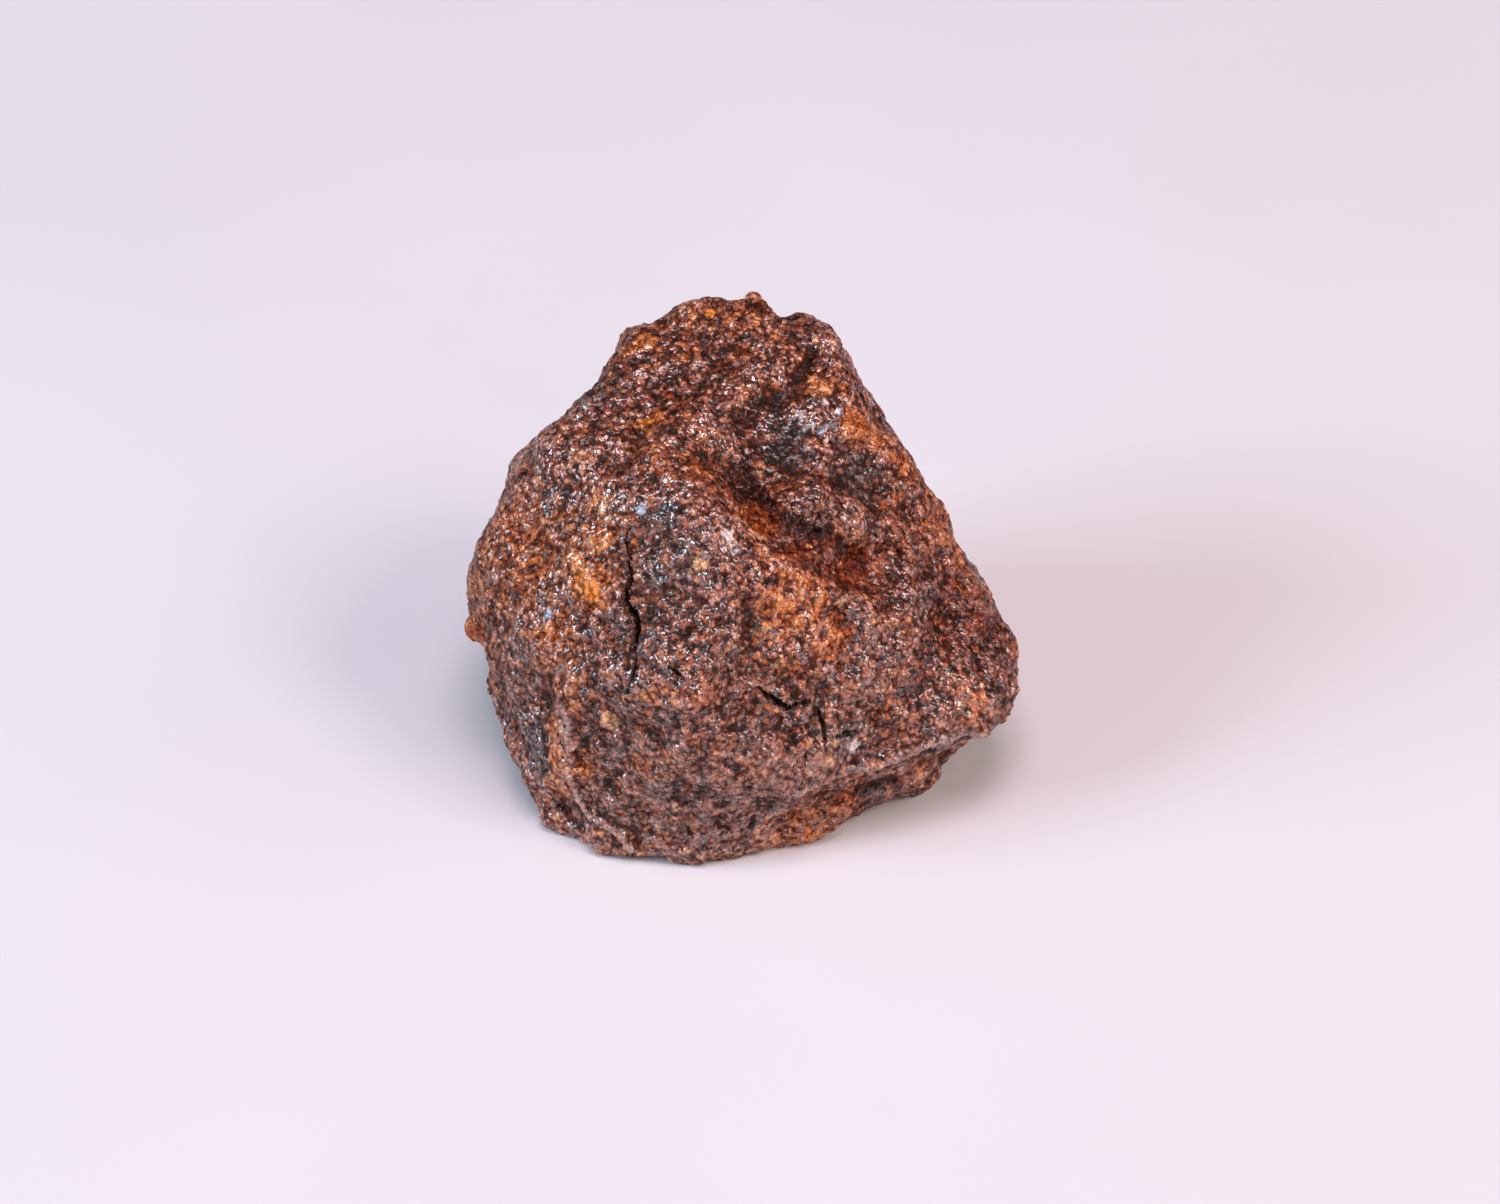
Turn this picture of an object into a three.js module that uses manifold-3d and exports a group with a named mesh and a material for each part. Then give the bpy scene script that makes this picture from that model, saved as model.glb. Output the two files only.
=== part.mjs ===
// A weathered stony meteorite: one loose, hand-sized stone with a rusty, granular crust.
//
// Frame: millimetres, +Z up. The origin is at the middle of the underside, and the stone rests on the
// flat facet at z = 0. Its cracked front faces -Y, its broad bulge +X, and its crest is at the back.
//
// The stone starts as a rounded polyhedron around CORE, the shape that breaking and wear leave. Every
// direction from CORE meets its surface once, so a feature's place is an offset from CORE that points
// at it, and the surface there is raised or lowered. The cracks and the resting facet are then cut out
// of the solid.

import * as THREE from "three";
import { ImprovedNoise } from "three/addons/math/ImprovedNoise.js";
import { mergeVertices } from "three/addons/utils/BufferGeometryUtils.js";
import Module from "manifold-3d";

const wasm = await Module();
wasm.setup();

// ---------------------------------------------------------------- driving dimensions

const CORE = new THREE.Vector3(0.2, -0.9, 19);
const MESH_DETAIL = 20;
const EDGE_SHARPNESS = 30;

// The worn faces: azimuth from -Y towards +X and elevation above the horizon, in degrees, of the way
// that a face looks, and its distance from CORE.
const FACES = [
  { azimuth: -2, elevation: 0, distance: 20.8 }, // front, lower
  { azimuth: -27, elevation: 5, distance: 20.6 }, // front, left
  { azimuth: 16, elevation: -20, distance: 23.6 }, // foot of the front
  { azimuth: -50, elevation: 8, distance: 22.4 }, // lower left flank
  { azimuth: -42, elevation: 34, distance: 19.4 }, // left shoulder
  { azimuth: -2, elevation: 42, distance: 16.8 }, // front slope
  { azimuth: -5, elevation: 70, distance: 17.0 }, // top
  { azimuth: 21, elevation: 22, distance: 16.4 }, // front, right
  { azimuth: 60, elevation: 40, distance: 17.0 }, // right shoulder
  { azimuth: 37, elevation: -28, distance: 26.0 }, // underside, right
  { azimuth: 60, elevation: -26, distance: 28.8 },
  { azimuth: 84, elevation: -6, distance: 30.0 }, // right end
  { azimuth: 100, elevation: 14, distance: 24.5 }, // right side
  { azimuth: 111, elevation: 23, distance: 21.3 },
  { azimuth: 117, elevation: 28, distance: 23.4 },
  { azimuth: 144, elevation: 44, distance: 29.2 }, // crest, right
  { azimuth: -171, elevation: 50, distance: 30.0 }, // crest
  { azimuth: -143, elevation: 44, distance: 29.2 }, // crest, left
  { azimuth: -117, elevation: 29, distance: 24.8 }, // left side, upper
  { azimuth: -105, elevation: 18, distance: 26.6 },
  { azimuth: -90, elevation: -5, distance: 27.8 }, // left end
  { azimuth: -76, elevation: -14, distance: 27.4 }, // left side, lower
  { azimuth: 180, elevation: 8, distance: 22.0 }, // back
  { azimuth: -145, elevation: -2, distance: 24.0 },
  { azimuth: 140, elevation: 5, distance: 22.5 },
  { azimuth: 175, elevation: -32, distance: 23.6 }, // back, lower
  { azimuth: -122, elevation: -35, distance: 26.0 },
  { azimuth: 112, elevation: -36, distance: 25.6 },
  { azimuth: 60, elevation: -65, distance: 24.9 }, // around the resting facet
  { azimuth: 150, elevation: -58, distance: 22.6 },
  { azimuth: -160, elevation: -58, distance: 22.8 },
  { azimuth: -100, elevation: -56, distance: 24.6 },
  { azimuth: 0, elevation: -90, distance: 22.0 },
];

// Lumps (height above 0) and hollows (height below 0).
const SWELLS = [
  { at: [-5, -4, 17], reach: 6.5, height: 2.6 }, // central lump
  { at: [-1, -11, 15], reach: 4.5, height: 2.0 }, // its nose
  { at: [-4, 3, 19], reach: 3.5, height: 1.4 }, // small lobe behind it
  { at: [5, 0, 18], reach: 4.5, height: -2.3 }, // hollow above the valley
  { at: [12, 0, 14], reach: 4.5, height: -2.0 }, // its neighbour
  { at: [8, -3, 15], reach: 3.4, height: 0.5 }, // patch between the two
  { at: [19, -4, 2], reach: 4.5, height: -1.2 }, // dent in the right shoulder
  { at: [24, -8, -5], reach: 5, height: 1.4 }, // right bulge
  { at: [19, -8, -17], reach: 3.0, height: 1.6 }, // foot of the ledge
  { at: [-28, -1, -3.6], reach: 1.9, height: 1.5 }, // knob on the left end
  { at: [2, 17, 23], reach: 1.8, height: 1.1 }, // knob on the crest
  { at: [5, 17, 23], reach: 2.0, height: -1.2 },
  { at: [8, 15, 21], reach: 2.4, height: 0.8 },
  { at: [-9, 17, 21], reach: 1.8, height: -0.7 },
  { at: [-12, 16, 19], reach: 3.0, height: 1.2 },
  { at: [-22, 9, 10], reach: 4.0, height: 1.8 }, // corner of the left side
  { at: [-15, -9, 11], reach: 3.5, height: 0.9 }, // swelling left of the crack
  { at: [6, 22, 3], reach: 6.0, height: -2.0 }, // thumbprint hollows on the back
  { at: [-12, 19, -4], reach: 5.0, height: -1.6 },
  { at: [20, 12, -6], reach: 5.0, height: -1.4 },
  { at: [-4, 21, 14], reach: 5.0, height: 1.2 },
  { at: [-22, 12, -8], reach: 5.0, height: 1.2 },
];

// Valleys (depth above 0) and ridges (depth below 0), each along its points: the valley beside the
// central lump, its branch to the crest, the ridge along the lower left flank and the trough beside it.
const VALLEYS = [
  {
    points: [[-3, 0, 19], [0, -3, 18], [2, -8, 17], [6, -8.5, 15], [9, -8.5, 12], [12, -6, 8.5]],
    reach: 3.1,
    depth: 3.3,
  },
  { points: [[0, 3.5, 19.5], [4, 6, 20], [7, 11, 22]], reach: 1.8, depth: 1.4 },
  {
    points: [[-18, -14.5, -2.5], [-17, -15.5, -10], [-15.5, -16, -15], [-11, -18, -18]],
    reach: 1.6,
    depth: -1.2,
  },
  { points: [[-20, -12, -3], [-19, -13.5, -10], [-16, -15.5, -17]], reach: 1.8, depth: 0.8 },
];

// The ledge along the front's right foot: below its rim, the stone is broken away.
const LEDGE = {
  rim: [
    [5.7, -20.4, -10],
    [10.6, -18.3, -8],
    [13.6, -17, -8.5],
    [19.5, -14, -7.3],
    [24.4, -10, -9.6],
    [27, -6, -10.5],
  ],
  recess: 2.0,
  step: 1.6,
  reach: 5,
};

// Cracks: along its points, how wide it gapes and how deep it goes.
const CRACKS = [
  {
    points: [
      [-10.9, -7.5, 15.2],
      [-10.6, -11, 10.8],
      [-10.9, -12.7, 9.1],
      [-10.2, -14.4, 7],
      [-9.9, -16.8, 4.6],
      [-11, -17.6, 2],
    ],
    gape: 0.7,
    depth: 2.6,
  },
  {
    points: [[1.5, -16.6, 2], [3.6, -16.9, 0.4], [4.9, -17.2, -0.5], [6.7, -16.4, -0.3]],
    gape: 0.6,
    depth: 1.8,
  },
];
const WEDGE_STEPS = 20;
const WEDGE_STANDS_OUT = 1;
const WEDGE_MOUTH = 1.3; // shares of the gape
const WEDGE_FOOT = 0.3;
const WEDGE_END = 0.08; // how far round its half wave a wedge starts, so that its ends aren't zero wide

const FALLOFF = 1.15; // a feature is down to 0.32 of its height at its reach, and to 0.01 at twice that

const LUMPINESS = { spacing: 9, height: 1.0 };
const ROUGHNESS = { spacing: 3.6, height: 0.55 };

const CRUST_COLOUR = 0x5a3424;

// ---------------------------------------------------------------- shape

const noise = new ImprovedNoise();

function direction(azimuth, elevation) {
  const a = THREE.MathUtils.degToRad(azimuth);
  const e = THREE.MathUtils.degToRad(elevation);
  return new THREE.Vector3(Math.sin(a) * Math.cos(e), -Math.cos(a) * Math.cos(e), Math.sin(e));
}

const faces = FACES.map((face) => ({
  outward: direction(face.azimuth, face.elevation),
  distance: face.distance,
}));

// How far the rounded polyhedron reaches from CORE along a unit vector.
function bodyRadius(along) {
  let sum = 0;
  for (const { outward, distance } of faces) {
    sum += Math.max(0, outward.dot(along) / distance) ** EDGE_SHARPNESS;
  }
  return sum ** (-1 / EDGE_SHARPNESS);
}

// The point of the rounded polyhedron that an offset from CORE points at.
function onBody(offset) {
  const along = new THREE.Vector3(...offset).normalize();
  return along.multiplyScalar(bodyRadius(along)).add(CORE);
}

const swells = SWELLS.map((swell) => ({ ...swell, middle: onBody(swell.at) }));
const valleys = VALLEYS.map((valley) => ({ ...valley, line: valley.points.map(onBody) }));
const rim = LEDGE.rim.map(onBody);

function falloff(distance, reach) {
  return Math.exp(-FALLOFF * (distance / reach) ** 2);
}

function nearestOn(line, place) {
  let nearest = line[0];
  for (let i = 1; i < line.length; i += 1) {
    const candidate = new THREE.Vector3();
    new THREE.Line3(line[i - 1], line[i]).closestPointToPoint(place, true, candidate);
    if (candidate.distanceTo(place) < nearest.distanceTo(place)) {
      nearest = candidate;
    }
  }
  return nearest;
}

function swelling(place) {
  let height = 0;
  for (const swell of swells) {
    height += swell.height * falloff(place.distanceTo(swell.middle), swell.reach);
  }
  return height;
}

function valleyDepth(place) {
  let depth = 0;
  for (const valley of valleys) {
    depth += valley.depth * falloff(place.distanceTo(nearestOn(valley.line, place)), valley.reach);
  }
  return depth;
}

// The broken band under the ledge's rim. It fades out beyond the rim's two ends.
function ledgeRecess(place) {
  const onRim = nearestOn(rim, place);
  const below = onRim.z - place.z;
  const sideways = Math.hypot(onRim.x - place.x, onRim.y - place.y);
  return LEDGE.recess * THREE.MathUtils.smoothstep(below, 0, LEDGE.step) * falloff(sideways, LEDGE.reach);
}

function waviness(place, { spacing, height }) {
  return height * noise.noise(place.x / spacing, place.y / spacing, place.z / spacing);
}

function relief(place) {
  const broad = swelling(place) - valleyDepth(place) - ledgeRecess(place);
  return broad + waviness(place, LUMPINESS) + waviness(place, ROUGHNESS);
}

// The stone's surface in a direction from CORE.
function onStone(offset) {
  const along = new THREE.Vector3(...offset).normalize();
  const place = onBody(offset);
  return place.addScaledVector(along, relief(place));
}

function merged(geometry) {
  geometry.deleteAttribute("normal");
  geometry.deleteAttribute("uv");
  return mergeVertices(geometry, 1e-5);
}

function solid(geometry) {
  return new wasm.Manifold(
    new wasm.Mesh({
      numProp: 3,
      vertProperties: geometry.attributes.position.array,
      triVerts: new Uint32Array(geometry.index.array),
    }),
  );
}

function geometryOf(manifold) {
  const mesh = manifold.getMesh();
  const geometry = new THREE.BufferGeometry();
  geometry.setAttribute("position", new THREE.BufferAttribute(mesh.vertProperties, 3));
  geometry.setIndex(new THREE.BufferAttribute(mesh.triVerts, 1));
  geometry.computeVertexNormals();
  return geometry;
}

// ---------------------------------------------------------------- solids

function wholeStone() {
  const geometry = merged(new THREE.IcosahedronGeometry(1, MESH_DETAIL));
  const positions = geometry.attributes.position;
  for (let i = 0; i < positions.count; i += 1) {
    const place = onStone([positions.getX(i), positions.getY(i), positions.getZ(i)]);
    positions.setXYZ(i, place.x, place.y, place.z);
  }
  return solid(geometry);
}

function belowGround() {
  return solid(merged(new THREE.BoxGeometry(100, 100, 40).translate(0, 0, -20)));
}

// A thin wedge that follows a crack: open above the surface, and closing to an edge inside the stone.
function crackWedge({ points, gape, depth }) {
  const path = new THREE.CatmullRomCurve3(points.map(onStone));
  const geometry = merged(new THREE.BoxGeometry(1, 1, 1, 1, WEDGE_STEPS, 1));
  const positions = geometry.attributes.position;
  for (let i = 0; i < positions.count; i += 1) {
    const t = THREE.MathUtils.clamp(positions.getY(i) + 0.5, 0, 1);
    const isMouth = positions.getZ(i) > 0;
    const opening = Math.sin(Math.PI * THREE.MathUtils.lerp(WEDGE_END, 1 - WEDGE_END, t));
    const across = positions.getX(i) * gape * opening * (isMouth ? WEDGE_MOUTH : WEDGE_FOOT);
    const out = isMouth ? WEDGE_STANDS_OUT : -depth * opening;
    const place = path.getPointAt(t);
    const outward = place.clone().sub(CORE).normalize();
    const sideways = new THREE.Vector3().crossVectors(path.getTangentAt(t), outward).normalize();
    place.addScaledVector(sideways, across).addScaledVector(outward, out);
    positions.setXYZ(i, place.x, place.y, place.z);
  }
  return solid(geometry);
}

// ---------------------------------------------------------------- the stone

const cutters = [belowGround(), ...CRACKS.map(crackWedge)];
const stone = cutters.reduce((rest, cutter) => rest.subtract(cutter), wholeStone());

const meteorite = new THREE.Mesh(
  geometryOf(stone),
  new THREE.MeshStandardMaterial({ color: CRUST_COLOUR, roughness: 0.45, metalness: 0 }),
);
meteorite.name = "meteorite";

const part = new THREE.Group();
part.add(meteorite);

export default part;
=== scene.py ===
"""The looks of the meteorite: a crust of glossy, rusty grains laid over the stone's solid.

Lengths are in millimetres up to the finished mesh, which is in metres like the frame.
A place is (x, y, z) in the frame. Every direction from CORE meets the stone's surface once.
"""

import math

import bmesh
import bpy
import numpy as np
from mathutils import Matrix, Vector, noise
from mathutils.bvhtree import BVHTree

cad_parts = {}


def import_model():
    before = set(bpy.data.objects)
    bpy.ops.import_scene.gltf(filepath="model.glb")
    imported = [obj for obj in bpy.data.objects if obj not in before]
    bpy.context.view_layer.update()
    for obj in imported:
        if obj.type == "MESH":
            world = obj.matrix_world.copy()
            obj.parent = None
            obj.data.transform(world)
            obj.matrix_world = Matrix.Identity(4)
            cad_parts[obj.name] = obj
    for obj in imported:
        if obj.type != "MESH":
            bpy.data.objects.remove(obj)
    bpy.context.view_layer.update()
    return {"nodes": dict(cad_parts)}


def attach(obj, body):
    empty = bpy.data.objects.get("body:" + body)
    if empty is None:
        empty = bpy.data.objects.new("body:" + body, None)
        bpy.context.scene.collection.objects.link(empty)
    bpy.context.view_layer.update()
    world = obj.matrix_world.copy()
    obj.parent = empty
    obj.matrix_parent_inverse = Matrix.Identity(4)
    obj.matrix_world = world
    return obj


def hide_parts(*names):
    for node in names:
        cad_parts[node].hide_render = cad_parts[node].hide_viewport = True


MM = 0.001
SEED = 8151
STONE = "meteorite"
CORE = np.array([0.2, -0.9, 19.0])
# Farther from CORE than any point of the stone.
OUTSIDE = 60.0
# The share of the way to its neighbours' mean that a point goes where it is evened out gently.
GENTLE = 0.5

# Grains: how many, how often their places are evened out, and how few lie on the resting facet,
# which is what lies lower than the band.
GRAINS = 15600
GRAIN_EVENING = 3
GROUND_SHARE = 0.2
GROUND_BAND = 0.15

# The surface under the grains: how often it is evened out before and after its triangles are cut.
BASE_EVENING = 3
CUT_EVENING = 2

# Heights of the grains, of the proud ones and of the pits that take the place of some, and how
# much they are then rounded off.
GRAIN_HEIGHT = 0.13
GRAIN_SPREAD = (0.2, 1.6)
PROUD_SHARE = 0.12
PROUD_HEIGHT = 0.16
PIT_SHARE = 0.08
PIT_DEPTH = 0.26
ROUNDING = 0.5

# The gaps between grains: depth, its spread, and its share at a grain's middle, between two
# grains and between three.
GRAIN_GAP = 0.13
GAP_SPREAD = (0.5, 1.5)
GAP_SHARES = (0.0, 0.8, 1.2)

# How far grains are moved sideways, and how much of their rise and move their borders share.
GRAIN_SHIFT = 0.14
BORDER_SHARE = 0.5

# How much lower the grains and the lumps are where the crust is dull.
DULL_GRAINS = 0.6
DULL_LUMPS = 0.4

# Noise: how far apart its uses lie, and the number of the first use of each kind.
NOISE_STRIDE = (17.3, 5.9, 11.7)
SWELL_NOISE = 1
CRACK_NOISE = 3
LUMP_NOISE = 11
FLAKE_NOISE = 21

# Swells and lumps: size, and how far they stand out or in. Lumps rise fast from their crevices.
SWELLS = [(5.0, 0.5), (2.4, 0.25)]
LUMPS = [(4.0, 0.25), (2.1, 0.16), (1.2, 0.12)]
LUMP_RISE = 3

# Forms: (place, reach, height), which sharpen what the solid has in the round.
FORMS = [
    ((4.9, 0.6, 35.7), 4.5, -0.4),
    ((11.3, 0.6, 33.2), 4.5, -0.5),
    ((-4.0, -8.5, 36.0), 6.0, 0.8),
    ((19.6, -4.4, 21.2), 4.0, 0.3),
    ((9.4, -5.6, 32.2), 3.4, -0.6),
    # Knobs and notches along the outline, clockwise from the top, then smaller ones.
    ((1.4, 16.4, 42.9), 1.5, 0.6),
    ((6.4, 14.2, 42.2), 4.0, -0.8),
    ((4.2, 16.9, 41.6), 3.5, -1.2),
    ((11.2, 15.8, 34.8), 3.5, 0.6),
    ((14.5, 6.5, 34.2), 3.5, -0.6),
    ((16.6, 7.6, 31.0), 3.5, -0.5),
    ((21.4, 1.3, 24.5), 4.0, -0.6),
    ((23.1, 5.8, 19.4), 4.5, -1.1),
    ((27.7, -4.6, 13.5), 3.0, 0.1),
    ((27.6, -9.1, 9.8), 3.2, -0.8),
    ((26.8, -11.9, 11.2), 4.0, -1.2),
    ((24.8, -11.4, 8.8), 2.8, -1.0),
    ((22.9, -14.4, 10.6), 2.6, -0.8),
    ((20.6, -11.0, 4.6), 3.2, -1.0),
    ((21.5, -8.4, 1.4), 3.8, -1.4),
    ((17.4, -10.6, 0.5), 3.0, 0.4),
    ((6.7, -17.4, 0.6), 3.5, 0.7),
    ((2.4, -18.6, 0.0), 3.5, 0.5),
    ((-3.8, -20.2, 0.0), 5.0, 0.6),
    ((-17.6, -16.0, 0.2), 3.6, 0.85),
    ((-19.2, -14.2, 0.8), 3.6, 1.1),
    ((-22.6, -9.6, 6.0), 3.0, 0.9),
    ((-25.8, -5.0, 13.8), 2.2, -0.6),
    ((-26.3, -2.8, 11.5), 3.6, -1.0),
    ((-27.3, -3.9, 16.2), 1.9, 0.9),
    ((-27.5, -1.0, 16.2), 2.0, -0.3),
    ((-26.5, -4.2, 14.2), 1.6, -0.7),
    ((-26.1, -0.4, 10.0), 3.6, -0.6),
    ((-27.2, 0.2, 22.9), 3.6, -0.8),
    ((-25.5, 2.2, 25.4), 4.2, -0.9),
    ((-19.6, 12.1, 29.4), 4.0, 0.3),
    ((-15.4, 14.3, 34.0), 5.0, -1.1),
    ((-13.1, 14.2, 38.2), 3.2, -1.0),
    ((-14.2, 8.0, 39.0), 4.0, -0.6),
    ((-3.6, 17.0, 42.3), 3.5, 0.6),
    ((-15.0, 10.4, 37.2), 4.2, -0.6),
    ((-17.0, 5.8, 36.9), 2.6, -0.5),
    ((-25.8, 6.1, 22.2), 3.2, -0.5),
    ((-26.5, -1.2, 25.4), 2.6, -0.3),
    ((22.4, 2.7, 21.9), 2.8, -0.4),
    ((18.8, -10.8, 0.8), 2.6, -0.1),
    ((23.2, -7.9, 5.5), 2.6, -0.4),
    ((-14.4, -18.6, 0.6), 2.8, 0.3),
    ((8.9, -16.8, 1.2), 2.8, 0.35),
    ((12.0, -14.0, 1.0), 2.6, 0.35),
]

# Lines: the points along a ridge or groove, its reach and its height, or its strength.
VALLEY = [
    (-1.0, -1.3, 35.4),
    (1.0, -2.8, 34.0),
    (3.0, -5.6, 33.2),
    (5.8, -6.9, 31.9),
    (8.8, -6.8, 30.4),
    (12.0, -5.6, 27.4),
]
VALLEY_TOP = [(-8.2, -2.8, 37.6), (-7.2, -2.2, 37.4), (-3.9, -0.1, 36.4), (-1.4, -1.0, 35.0)]
VALLEY_BRANCH = [(0.5, 3.5, 37.8), (4.4, 5.8, 38.6), (7.4, 10.6, 40.5)]
LEDGE_RIM = [
    (5.9, -21.0, 9.8),
    (10.8, -18.9, 10.6),
    (13.8, -17.4, 10.4),
    (16.7, -16.9, 11.4),
    (19.7, -15.1, 11.8),
    (24.2, -13.7, 11.1),
]
LEDGE_BAND = [
    (4.0, -19.4, 4.4),
    (8.9, -17.5, 6.4),
    (13.0, -15.4, 6.4),
    (19.0, -12.9, 6.6),
    (23.0, -10.6, 7.4),
]
LEFT_RIM = [
    (-17.5, -16.0, 17.0),
    (-16.7, -16.7, 15.1),
    (-16.9, -17.2, 9.5),
    (-15.3, -17.8, 4.6),
    (-11.9, -19.6, 3.5),
    (-10.7, -20.3, 1.8),
]
LINES = [
    (VALLEY, 1.2, -0.25),
    (VALLEY_TOP, 2.6, 0.5),
    (VALLEY_BRANCH, 1.6, -0.25),
    (LEDGE_RIM, 0.9, 0.4),
    (LEDGE_BAND, 2.2, -0.7),
    (LEFT_RIM, 0.6, 0.45),
]
# Paler edges: the ledge's rim is worn paler; along the left rim the paler colour is a painted
# highlight of light grazing the edge.
WEAR_AND_HIGHLIGHT = [(LEDGE_RIM, 0.8, 0.9), (LEFT_RIM, 0.5, 1.0)]
# Painted shade: these lines lower each point's height over its surroundings, so the valley is
# painted darker.
SHADED = [(VALLEY, 1.4, 1.0), (VALLEY_BRANCH, 1.0, 0.5)]
# How patches and lines fade out: a power of the nearness to them.
PATCH_FALLOFF = 0.7
LINE_FALLOFF = 1.5

# Flakes: the thin layers low on the front, their pitch, step and waves (size, height in layers),
# how steeply a step rises, and where along it its worn edge is, how wide and how strong.
FLAKY = [((2.0, -20.0, 8.0), 9.0, 1.0), ((-8.0, -19.5, 6.0), 6.0, 0.9)]
FLAKE_PITCH = 1.5
FLAKE_STEP = 0.30
FLAKE_WAVES = [(3.2, 1.6), (1.1, 0.5)]
FLAKE_RISE = 5
FLAKE_EDGE = 0.22
FLAKE_EDGE_WIDTH = 0.16
FLAKE_WEAR = 0.9

# Cracks: points (x, y, z, gape) along the mouth, then the depth. The solid has the first two too.
LONG_CRACK = [
    (-10.6, -8.6, 34.2, 0.12),
    (-10.7, -9.5, 32.6, 0.24),
    (-10.5, -10.3, 31.5, 0.30),
    (-10.3, -11.9, 29.7, 0.50),
    (-10.8, -12.6, 29.0, 0.50),
    (-10.6, -13.5, 27.8, 0.60),
    (-10.1, -14.8, 27.2, 0.70),
    (-9.9, -15.6, 26.3, 0.85),
    (-10.1, -16.7, 24.8, 0.75),
    (-9.8, -17.2, 24.1, 0.36),
    (-10.2, -18.0, 22.9, 0.34),
    (-10.8, -18.4, 20.8, 0.20),
]
LOW_CRACK = [
    (1.5, -17.4, 21.2, 0.20),
    (2.6, -17.6, 20.2, 0.46),
    (3.8, -17.8, 19.2, 0.60),
    (4.4, -18.0, 18.7, 0.60),
    (5.1, -18.0, 18.4, 0.54),
    (6.0, -17.8, 18.8, 0.42),
    (6.9, -17.4, 18.8, 0.30),
]
CRACKS = [
    (LONG_CRACK, 2.2),
    (LOW_CRACK, 1.8),
    ([(7.7, -17.5, 17.9, 0.24), (8.0, -18.1, 16.6, 0.5), (8.3, -18.8, 15.0, 0.24)], 1.3),
    ([(9.6, -18.2, 14.9, 0.2), (10.7, -17.8, 14.9, 0.5), (11.9, -17.1, 14.6, 0.2)], 1.2),
    ([(-6.8, -18.7, 24.2, 0.24), (-6.0, -19.0, 23.7, 0.5), (-5.2, -19.3, 23.2, 0.24)], 1.2),
    ([(-13.4, -17.2, 18.5, 0.16), (-13.9, -17.3, 17.3, 0.26)], 0.7),
    ([(-12.3, -15.3, 25.4, 0.12), (-12.5, -16.3, 23.8, 0.2)], 0.6),
    ([(-8.9, -16.2, 26.6, 0.12), (-9.0, -17.0, 25.0, 0.2)], 0.5),
]
SOLID_CRACKS = 2

# How finely a mouth is followed, how far grains keep from it, and how long and wide it wanders.
CRACK_STEP = 0.3
CRACK_MARGIN = 0.32
CRACK_WAVE = 0.8
CRACK_WANDER = 0.15

# The solid's cracks are bridged this far round their mouths, before they are cut anew.
CRACK_BRIDGE = 0.9
BRIDGE_EVENING = 60

# Directions count as near a crack when their cosine with its middle is more than this.
CRACK_NEAR = 0.7
# The least share of its depth that a crack has where it is narrow, and how far the painted black
# shade of its mouth reaches.
CRACK_SHALLOW = 0.35
CRACK_SHADOW = 1.7

# Patches: (place, reach, strength).
RUST = [
    ((-14.5, -11.6, 28.1), 2.8, 1.3),
    ((-15.8, -9.2, 29.8), 3.4, 0.9),
    ((-13.5, -8.0, 32.7), 2.6, 0.9),
    ((-13.7, -5.6, 34.5), 2.0, 0.6),
    ((-21.5, -5.7, 27.0), 7.0, 0.4),
    ((-18.0, -3.0, 32.0), 6.0, 0.3),
    ((-23.0, -6.9, 22.7), 4.5, 0.4),
    ((-18.5, -12.0, 22.5), 4.5, 0.6),
    ((-17.0, -14.2, 19.0), 2.6, 0.6),
    ((5.3, -13.6, 27.9), 4.0, 1.15),
    ((8.7, -14.2, 24.0), 3.6, 0.7),
    ((5.0, -15.6, 24.0), 3.6, 0.5),
    ((3.0, -11.5, 31.0), 2.6, 0.6),
    ((1.5, -8.6, 32.8), 1.6, 0.8),
    ((-9.9, 11.1, 40.7), 2.0, 0.8),
    ((-3.9, 12.5, 41.6), 4.0, 0.25),
    ((2.0, 12.1, 41.8), 4.0, 0.2),
    ((7.9, 7.0, 39.5), 2.4, 0.5),
    ((8.5, 6.1, 39.2), 1.2, 0.8),
    ((-3.8, -4.3, 37.1), 2.0, 0.35),
    ((-8.3, 2.4, 38.1), 1.4, 0.8),
    ((10.9, 4.0, 36.7), 2.0, 1.1),
    ((13.4, 4.2, 34.8), 2.4, 0.55),
    ((15.8, 4.0, 31.9), 3.6, 0.4),
    ((20.4, 0.9, 25.5), 4.0, 0.45),
    ((-16.3, -16.0, 17.9), 1.8, 0.6),
    ((-18.5, -15.0, 13.2), 2.2, 1.2),
    ((-18.2, -15.9, 10.1), 2.2, 1.3),
    ((-17.8, -15.9, 6.5), 2.0, 1.1),
    ((-12.6, -17.8, 16.9), 1.3, 1.1),
    ((-15.2, -17.3, 10.2), 1.4, 1.1),
    ((-8.6, -19.7, 21.1), 1.6, 0.6),
    ((-9.7, -19.4, 13.1), 2.0, 0.5),
    ((23.2, -12.4, 14.6), 1.7, 1.0),
    ((8.4, -19.4, 12.8), 1.0, 1.1),
    ((5.0, -18.2, 3.0), 4.6, 0.8),
    ((10.5, -17.0, 5.0), 3.0, 0.6),
    ((17.9, -14.0, 6.8), 3.4, 0.6),
    ((6.0, 18.0, 26.0), 7.0, 0.7),
    ((-15.0, 15.0, 15.0), 6.0, 0.6),
    ((19.0, 12.0, 12.0), 5.0, 0.7),
    ((-5.0, 20.0, 9.0), 5.0, 0.5),
    ((-22.0, 8.0, 24.0), 5.0, 0.5),
]
RED = [
    ((2.0, -6.6, 32.9), 2.6, 1.0),
    ((5.8, -9.6, 30.8), 2.6, 0.7),
    ((8.8, -7.6, 29.4), 2.2, 0.6),
    ((10.8, -6.4, 26.4), 3.2, 1.0),
    ((13.7, -6.6, 25.8), 2.2, 0.6),
    ((1.5, 1.0, 36.6), 2.4, 0.7),
    ((23.0, -6.0, 18.0), 6.0, 0.55),
    ((21.8, -3.1, 21.0), 4.5, 0.5),
    ((-26.9, -4.0, 16.4), 2.2, 1.0),
    ((12.0, 17.0, 16.0), 6.0, 0.7),
    ((-20.0, 12.0, 20.0), 5.0, 0.7),
]
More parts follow.
